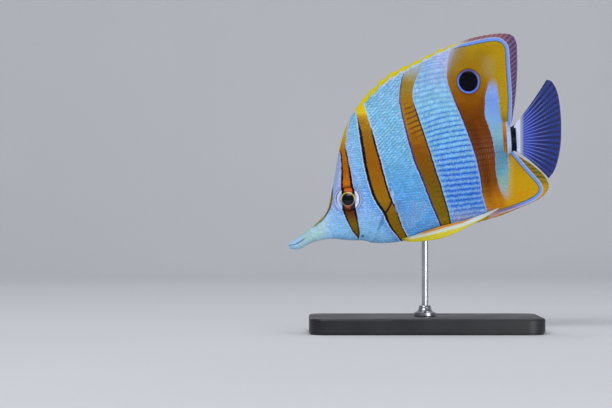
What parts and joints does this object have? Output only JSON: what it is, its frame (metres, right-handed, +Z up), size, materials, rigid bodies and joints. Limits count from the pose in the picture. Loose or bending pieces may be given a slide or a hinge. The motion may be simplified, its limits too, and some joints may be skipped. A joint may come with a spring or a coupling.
{
  "type": "copperband butterflyfish display model",
  "caption": "Life-size still model of a copperband butterflyfish, held over a flat base by one short rod.",
  "frame": {"origin": "middle of the underside of the stand's base, on the surface that the model stands on", "axes": "+X from the snout to the tail, +Y from the fish's left side to its right side, +Z up"},
  "size_m": [0.1361, 0.062, 0.1494],
  "materials": {
    "skin_blue": "scaled skin, pale blue with bands, satin gloss",
    "snout": "smooth pale skin of the snout and lips",
    "eye_black": "wet eye, black pupil in a pale iris",
    "fin_yellow": "folded spiny fin, bright yellow edge",
    "fin_golden": "rayed fin, golden brown with a blue line",
    "fin_clear": "thin rayed fin, lavender, half see-through",
    "fin_white": "white and yellow folded fin",
    "stand_black": "satin black base",
    "stand_steel": "plain steel rod and collar"
  },
  "bodies": {
    "root": {"head": "skin_blue", "upper_jaw": "snout", "lower_jaw": "snout", "gill_cover_left": "skin_blue", "gill_cover_right": "skin_blue", "eye_left": "eye_black", "eye_right": "eye_black", "torso": "skin_blue", "tail_base": "skin_blue", "spiny_dorsal_fin": "fin_yellow", "soft_dorsal_fin": "fin_golden", "anal_fin": "fin_golden", "caudal_fin": "fin_clear", "pectoral_fin_left": "fin_clear", "pectoral_fin_right": "fin_clear", "pelvic_fin_left": "fin_white", "pelvic_fin_right": "fin_white", "stand_base": "stand_black", "stand_collar": "stand_steel", "stand_rod": "stand_steel"}
  },
  "joints": []
}
